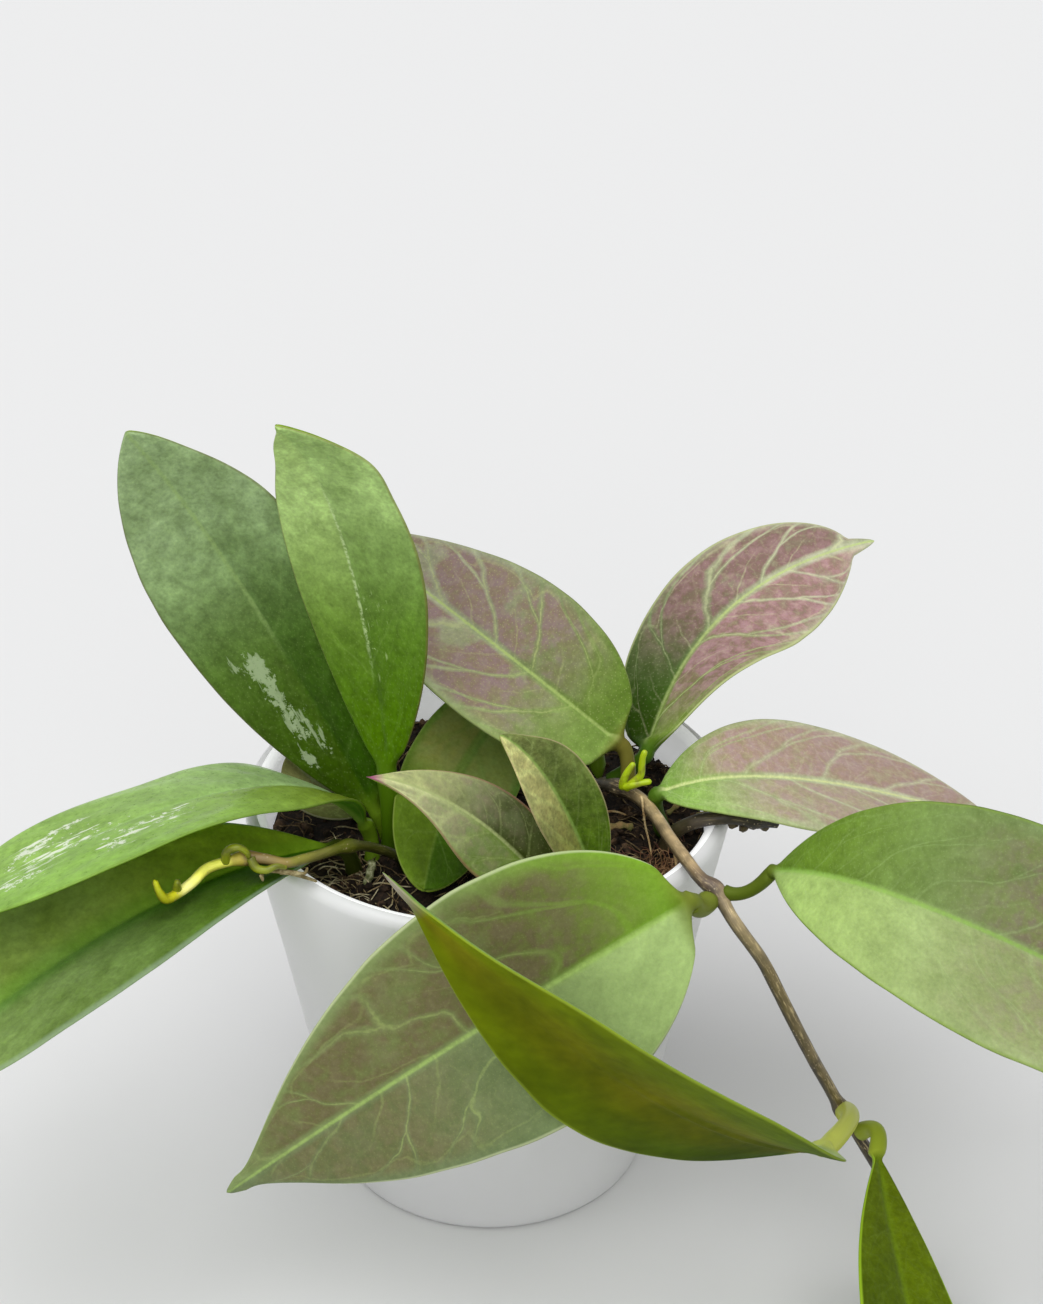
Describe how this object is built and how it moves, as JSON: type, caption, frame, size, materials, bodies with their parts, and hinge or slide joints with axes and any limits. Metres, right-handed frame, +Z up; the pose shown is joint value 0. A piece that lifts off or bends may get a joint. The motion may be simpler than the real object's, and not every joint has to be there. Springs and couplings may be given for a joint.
{
  "type": "sunrise hoya",
  "caption": "Young climbing plant with thick, waxy, pointed leaves and a trailing stem, rooted in a round white pot.",
  "frame": {"origin": "centre of the pot's underside, on the surface that it stands on", "axes": "+Z up along the pot's axis, -Y towards the front, +X to the right as seen from the front"},
  "size_m": [0.2371, 0.1703, 0.1581],
  "materials": {
    "pot_white": "satin, moulded",
    "soil": "matt, crumbly and fibrous",
    "stem_brown": "dry, streaked bark",
    "stem_green": "smooth young stem, satin",
    "stem_dark": "dry, torn at the end",
    "sprout": "smooth, satin",
    "young_growth": "smooth, satin, reddish brown and green",
    "leaf_green": "waxy, satin",
    "leaf_yellow_green": "waxy, satin",
    "leaf_silver": "waxy, silvery flecks",
    "leaf_bright": "waxy, satin, pale green",
    "leaf_olive": "waxy, satin, brown blotches between pale veins",
    "leaf_sunrise": "waxy, satin, purple brown between yellow green veins",
    "leaf_underside": "waxy, satin, plain underside towards the front"
  },
  "bodies": {
    "root": {"pot": "pot_white", "soil": "soil", "stem_trailing": "stem_brown", "stem_left": "stem_green", "stem_cut": "stem_dark", "sprouts": "sprout", "growing_end": "young_growth", "leaf_back_left": "leaf_silver", "leaf_upright": "leaf_yellow_green", "leaf_upper_left": "leaf_green", "leaf_lower_left": "leaf_green", "leaf_behind_left": "leaf_silver", "leaf_centre_purple": "leaf_sunrise", "leaf_top_right": "leaf_sunrise", "leaf_middle_right": "leaf_sunrise", "leaf_big_right": "leaf_bright", "leaf_front": "leaf_olive", "leaf_front_narrow": "leaf_underside", "leaf_trailing": "leaf_underside", "leaf_centre_small": "leaf_olive", "leaf_centre_folded": "leaf_olive", "leaf_centre_dark": "leaf_green"}
  },
  "joints": []
}
